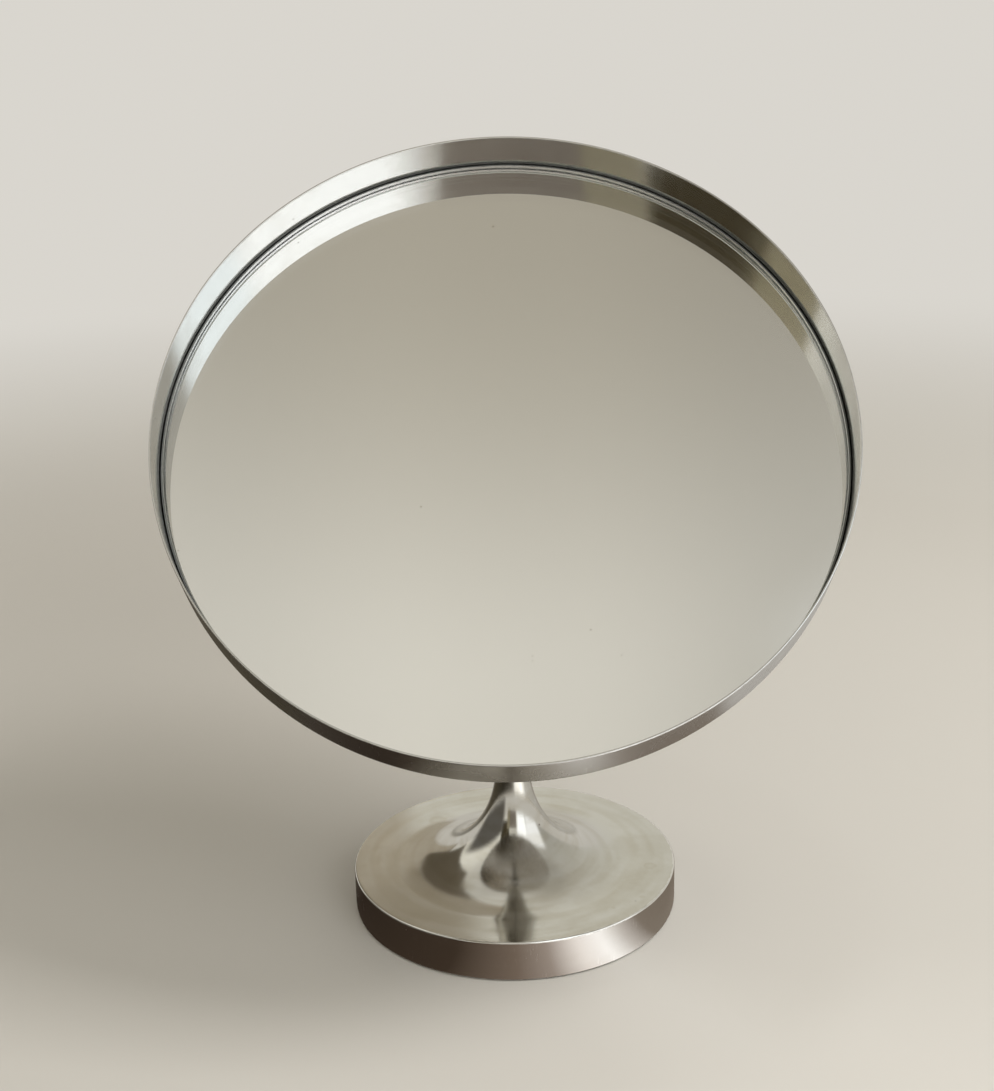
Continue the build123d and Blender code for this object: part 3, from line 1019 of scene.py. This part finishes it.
def makeFloor():
    look = floorLook
    width = look["coveReach"] - look["reach"]
    outline = [(0, 0)]
    for part in range(look["coveParts"] + 1):
        turn = math.radians(90) * part / look["coveParts"]
        outline.append((look["reach"] + width * math.sin(turn), look["coveRise"] * (1 - math.cos(turn))))
    mesh = bmesh.new()
    spinOutline(mesh, outline, look["steps"])
    material, tree, shader = newMaterial("floorPaint")
    place = objectPlace(tree)
    cooler = tuple(channel * look["cooler"] for channel in look["colour"])
    clouds = noiseAt(tree, place, look["cloudScale"])
    fillInputs(tree, shader, {
        "Base Color": mixColour(tree, clouds, look["colour"], cooler),
        "Roughness": look["rough"],
        "Specular IOR Level": look["specular"],
    })
    pale = remap(tree, vectorMaths(tree, "LENGTH", {0: place})["Value"], look["backdropFade"])
    seen = addNode(tree, "ShaderNodeLightPath").outputs
    direct = maths(tree, "MAXIMUM", seen["Is Camera Ray"], seen["Is Glossy Ray"])
    direct = maths(tree, "MAXIMUM", direct, seen["Is Transmission Ray"])
    glow = addNode(tree, "ShaderNodeEmission", inputs={"Color": (*look["backdropColour"], 1.0)})
    setMixed(tree, maths(tree, "MULTIPLY", pale, direct), shader, glow)
    floor = stageObject(mesh, "studioFloor", material)


cardLook = {
    "flagEdge": 0.10,  # the share of its half width in which a card fades out
    "glowEdge": 0.45,
    "edgeEnd": 0.99,
    "cloudScale": 2.0,
    "paler": 1.3,
}
flags = {  # azimuth from the front towards +X, elevation, distance from the tilt bolt, size, colour
    "cameraFlag": (-2, 12, 1.25, (0.56, 0.45), (0.29, 0.265, 0.25)),
    "leftFlag": (-31, 30, 2.2, (1.03, 1.22), (0.078, 0.064, 0.038)),
    "middleFlag": (-19, 13, 1.6, (0.36, 0.62), (0.38, 0.355, 0.28)),
    "sideFlag": (-41, 46, 1.68, (0.42, 0.46), (0.41, 0.38, 0.28)),
    # shadowFlag, backFlag and lowBackFlag are dark sheets standing in for the dish's shadow, and its soft
    # edge, on a wall behind
    "shadowFlag": (-146, 29, 1.35, (0.70, 1.0), (0.14, 0.12, 0.092)),
    "backFlag": (-156, 34, 1.45, (1.1, 0.70), (0.41, 0.375, 0.32)),
    "lowBackFlag": (-160, 12, 1.45, (0.70, 0.56), (0.50, 0.46, 0.40)),
}
# Glowing cards paint light and shade into reflections: windows where bright, a shaded side in the dim
# duskCard
glowCards = {  # azimuth, elevation, distance from the tilt bolt, size, brightness, colour
    "windowCard": (30, 27, 2.15, (1.55, 1.75), 1.65, (0.97, 0.99, 1.0)),
    "coolCard": (43, 48, 1.65, (0.70, 0.74), 1.4, (0.93, 1.0, 1.03)),
    "sideWindowCard": (68, 24, 2.0, (1.9, 1.35), 1.3, (0.98, 0.99, 1.0)),
    "duskCard": (-82, 10, 1.2, (2.8, 1.2), 0.13, (1.0, 0.93, 0.82)),
}


def fadeEdges(tree, shader, stand, size, edge):
    # The card's border fades out, and the mirror itself, seen through its pane, doesn't show the card
    paths = addNode(tree, "ShaderNodeLightPath").outputs
    throughPane = maths(tree, "GREATER_THAN", paths["Transmission Depth"], 0.5)
    inMirror = maths(tree, "MULTIPLY", throughPane, maths(tree, "LESS_THAN", paths["Glossy Depth"], 1.5))
    parts = separate(tree, aboutAxis(tree, stand))
    kept = maths(tree, "SUBTRACT", 1.0, inMirror)
    for side in (0, 1):
        half = size[side] / 2
        out = maths(tree, "ABSOLUTE", parts[side])
        border = remap(tree, out, (half * (1 - edge), half * cardLook["edgeEnd"]), falling)
        kept = maths(tree, "MULTIPLY", border, kept)
    setMixed(tree, kept, addNode(tree, "ShaderNodeBsdfTransparent"), shader)


def cardMesh(stand, size):
    mesh = bmesh.new()
    bmesh.ops.create_grid(mesh, x_segments=1, y_segments=1, size=0.5)
    bmesh.ops.scale(mesh, vec=(*size, 1), verts=mesh.verts)
    mesh.transform(stand)
    return mesh


def makeFlag(name):
    # A dull card that metal and glass reflect, out of the camera's sight
    azimuth, elevation, distance, size, colour = flags[name]
    stand = aimedPlace(azimuth, elevation, distance)
    material, tree, shader = newMaterial(name + "Felt")
    paler = tuple(channel * cardLook["paler"] for channel in colour)
    clouds = noiseAt(tree, objectPlace(tree), cardLook["cloudScale"])
    tone = mixColour(tree, clouds, colour, paler)
    fillInputs(tree, shader, {"Base Color": tone, "Roughness": 1.0, "Specular IOR Level": 0.0})
    fadeEdges(tree, shader, stand, size, cardLook["flagEdge"])
    card = stageObject(cardMesh(stand, size), name, material, ["visible_camera"])


def makeGlowCard(name):
    # A glowing card for the metal's reflections, which lights nothing else: a painted highlight where
    # bright, painted shade in the dim duskCard
    azimuth, elevation, distance, size, brightness, colour = glowCards[name]
    stand = aimedPlace(azimuth, elevation, distance)
    material, tree, shader = newMaterial(name + "PaintedGlow")
    tree.nodes.remove(shader)
    glow = addNode(tree, "ShaderNodeEmission", inputs={"Color": (*colour, 1.0), "Strength": brightness})
    fadeEdges(tree, glow, stand, size, cardLook["glowEdge"])
    hidden = ["visible_camera", "visible_diffuse", "visible_shadow"]
    card = stageObject(cardMesh(stand, size), name, material, hidden)


# A glowing ring on the floor that only the metal sees: its dark tones are painted shade, its bright ones a
# painted glare of light
lowCard = {  # a ring on the floor, with a tone for each azimuth close to the foot and further out
    "reach": (0.0975, 0.95),
    "lift": 0.6 * mm,
    "steps": 64,
    "near": [(-180, (0.44, 0.42, 0.38)), (-135, (0.15, 0.13, 0.105)), (-85, (0.036, 0.026, 0.019)),
             (-25, (0.068, 0.048, 0.034)), (0, (0.25, 0.195, 0.155)), (13, (0.48, 0.41, 0.36)),
             (26, (1.30, 1.24, 1.20)), (37, (1.60, 1.60, 1.60)), (47, (0.85, 0.81, 0.77)),
             (58, (0.31, 0.265, 0.22)), (95, (0.23, 0.19, 0.15)), (130, (0.28, 0.235, 0.19)),
             (180, (0.44, 0.42, 0.38))],
    "far": [(-180, (0.48, 0.46, 0.41)), (-138, (0.10, 0.085, 0.06)), (-60, (0.035, 0.030, 0.020)),
            (-28, (0.07, 0.062, 0.05)), (-8, (0.17, 0.16, 0.14)), (4, (0.45, 0.44, 0.42)),
            (14, (1.6, 1.59, 1.57)), (50, (2.1, 2.08, 2.05)), (75, (0.72, 0.70, 0.66)),
            (138, (0.55, 0.53, 0.49)), (180, (0.48, 0.46, 0.41))],
    "change": (0.19, 0.24),  # radii between which the near tones give way to the far ones
    "floorTone": (0.52, 0.485, 0.43),
    "fade": (0.60, 0.94),  # radii between which the card pales to the floor
}


def azimuthRamp(tree, azimuth, tones):
    share = maths(tree, "MULTIPLY_ADD", azimuth, 1 / math.tau, 0.5)
    ramp = addNode(tree, "ShaderNodeValToRGB", inputs={0: share})
    stops = ramp.color_ramp.elements
    stops.remove(stops[0])
    for index, (turn, tone) in enumerate(tones):
        stop = stops[0] if index == 0 else stops.new(turn / 360 + 0.5)
        stop.position = turn / 360 + 0.5
        stop.color = (*tone, 1.0)
    return ramp.outputs[0]


def makeLowCard():
    mesh = bmesh.new()
    spinOutline(mesh, [(radius, lowCard["lift"]) for radius in lowCard["reach"]], lowCard["steps"])
    material, tree, shader = newMaterial("lowCardPaintedGlow")
    tree.nodes.remove(shader)
    place = objectPlace(tree)
    parts = separate(tree, place)
    azimuth = maths(tree, "ARCTAN2", parts[0], maths(tree, "MULTIPLY", parts[1], -1.0))
    radius = vectorMaths(tree, "LENGTH", {0: place})["Value"]
    near = azimuthRamp(tree, azimuth, lowCard["near"])
    far = azimuthRamp(tree, azimuth, lowCard["far"])
    tone = mixColour(tree, remap(tree, radius, lowCard["change"]), near, far)
    tone = mixColour(tree, remap(tree, radius, lowCard["fade"]), tone, lowCard["floorTone"])
    # The ring glows with painted shade and light, though it is no lamp
    glow = addNode(tree, "ShaderNodeEmission", inputs={"Color": tone})
    setSurface(tree, glow)
    hidden = ["visible_camera", "visible_transmission", "visible_diffuse", "visible_shadow"]
    card = stageObject(mesh, "lowCard", material, hidden)


worldLook = {  # heights and sideways reaches are parts of the direction that is looked in
    "horizon": (0.77, 0.75, 0.71),
    "wallBand": (0.775, 0.755, 0.675),
    "ceilingFront": (0.69, 0.667, 0.60),
    "ceilingTop": (0.405, 0.375, 0.31),
    "wallRise": (0.05, 0.5),
    "frontRise": (0.5, 0.86),
    "topRise": (0.88, 0.99),
    "sideways": 0.42,  # how much darker everything gets towards +X
    "besides": 0.17,  # how much darker the ceiling gets either side of the line over the mirror
    "besideReach": (0.04, 0.20),
    "besideRise": (0.75, 0.85),
}


def makeWorld():
    look = worldLook
    world = bpy.data.worlds.new("studioWorld")
    world.use_nodes = True
    scene.world = world
    tree = world.node_tree
    direction = separate(tree, addNode(tree, "ShaderNodeTexCoord").outputs["Generated"])
    side, height = direction[0], direction[2]
    colour = mixColour(tree, remap(tree, height, look["wallRise"]), look["horizon"], look["wallBand"])
    colour = mixColour(tree, remap(tree, height, look["frontRise"]), colour, look["ceilingFront"])
    colour = mixColour(tree, remap(tree, height, look["topRise"]), colour, look["ceilingTop"])
    strength = maths(tree, "MULTIPLY_ADD", side, -look["sideways"], 1.0)
    beside = remap(tree, maths(tree, "ABSOLUTE", side), look["besideReach"])
    beside = maths(tree, "MULTIPLY", beside, remap(tree, height, look["besideRise"]))
    dimmed = maths(tree, "MULTIPLY_ADD", beside, -look["besides"], 1.0)
    strength = maths(tree, "MULTIPLY", strength, dimmed)
    fillInputs(tree, tree.nodes["Background"], {"Color": colour, "Strength": strength})


lamps = {  # azimuth, elevation, distance from the tilt bolt, size, power, colour
    "windowLamp": (30, 27, 2.2, (1.15, 1.35), 14.0, (0.97, 0.99, 1.0)),
    "keyLamp": (72, 50, 2.1, (0.85, 0.85), 26.0, (1.0, 0.99, 0.97)),
}


def makeLamp(name):
    azimuth, elevation, distance, size, power, colour = lamps[name]
    lamp = bpy.data.lights.new(name, "AREA")
    lamp.shape = "RECTANGLE"
    lamp.size = size[0]
    lamp.size_y = size[1]
    lamp.energy = power
    lamp.color = colour
    holder = bpy.data.objects.new(name, lamp)
    holder.matrix_world = aimedPlace(azimuth, elevation, distance)
    holder.visible_glossy = False
    holder.visible_transmission = False
    scene.collection.objects.link(holder)


makeFloor()
makeWorld()
for name in flags:
    makeFlag(name)
makeLowCard()
for name in glowCards:
    makeGlowCard(name)
for name in lamps:
    makeLamp(name)
scene.view_settings.view_transform = "Standard"
print("studio lit")
